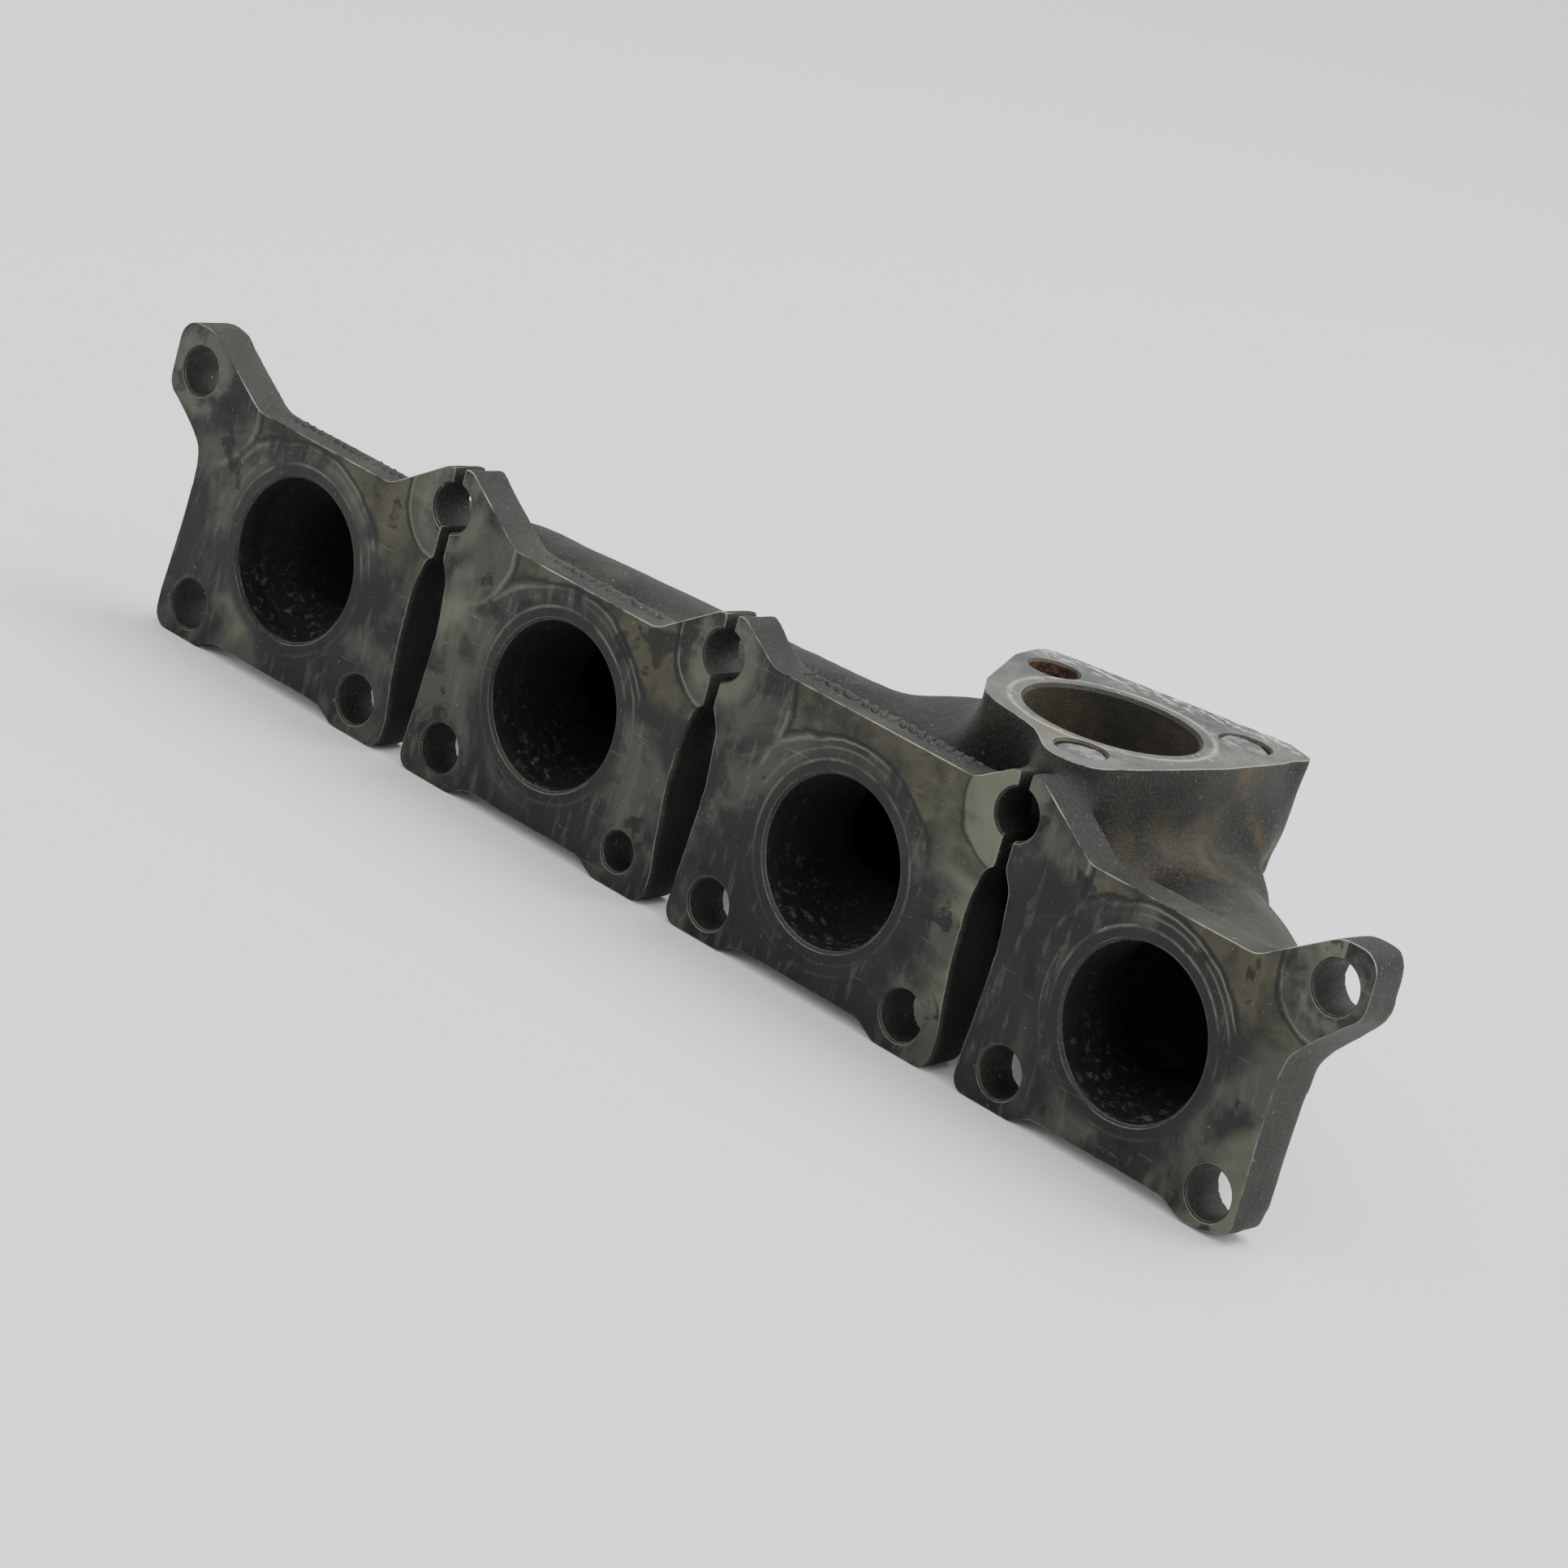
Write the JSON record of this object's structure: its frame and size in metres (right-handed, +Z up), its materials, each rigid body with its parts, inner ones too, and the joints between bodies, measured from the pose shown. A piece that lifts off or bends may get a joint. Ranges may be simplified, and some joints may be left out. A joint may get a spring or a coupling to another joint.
{
  "type": "exhaust manifold",
  "caption": "Cast-iron exhaust manifold for a four-cylinder engine: slotted head plates, a log behind them and a turbocharger outlet flange on top, with sheared studs left in it.",
  "frame": {"origin": "centre of the middle upper stud hole, on the machined head face", "axes": "+X along the row of ports, towards the outlet's end; -Y out of the head face, towards the cylinder head; +Z up, out of the outlet face"},
  "size_m": [0.37, 0.0832, 0.0748],
  "materials": {
    "cast_iron": "sand-cast skin with machined, heat-stained faces",
    "stud_steel": "sheared, scraped and heat-stained"
  },
  "bodies": {
    "root": {"manifold_casting": "cast_iron", "sheared_stud_front": "stud_steel", "sheared_stud_rear": "stud_steel"}
  },
  "joints": []
}
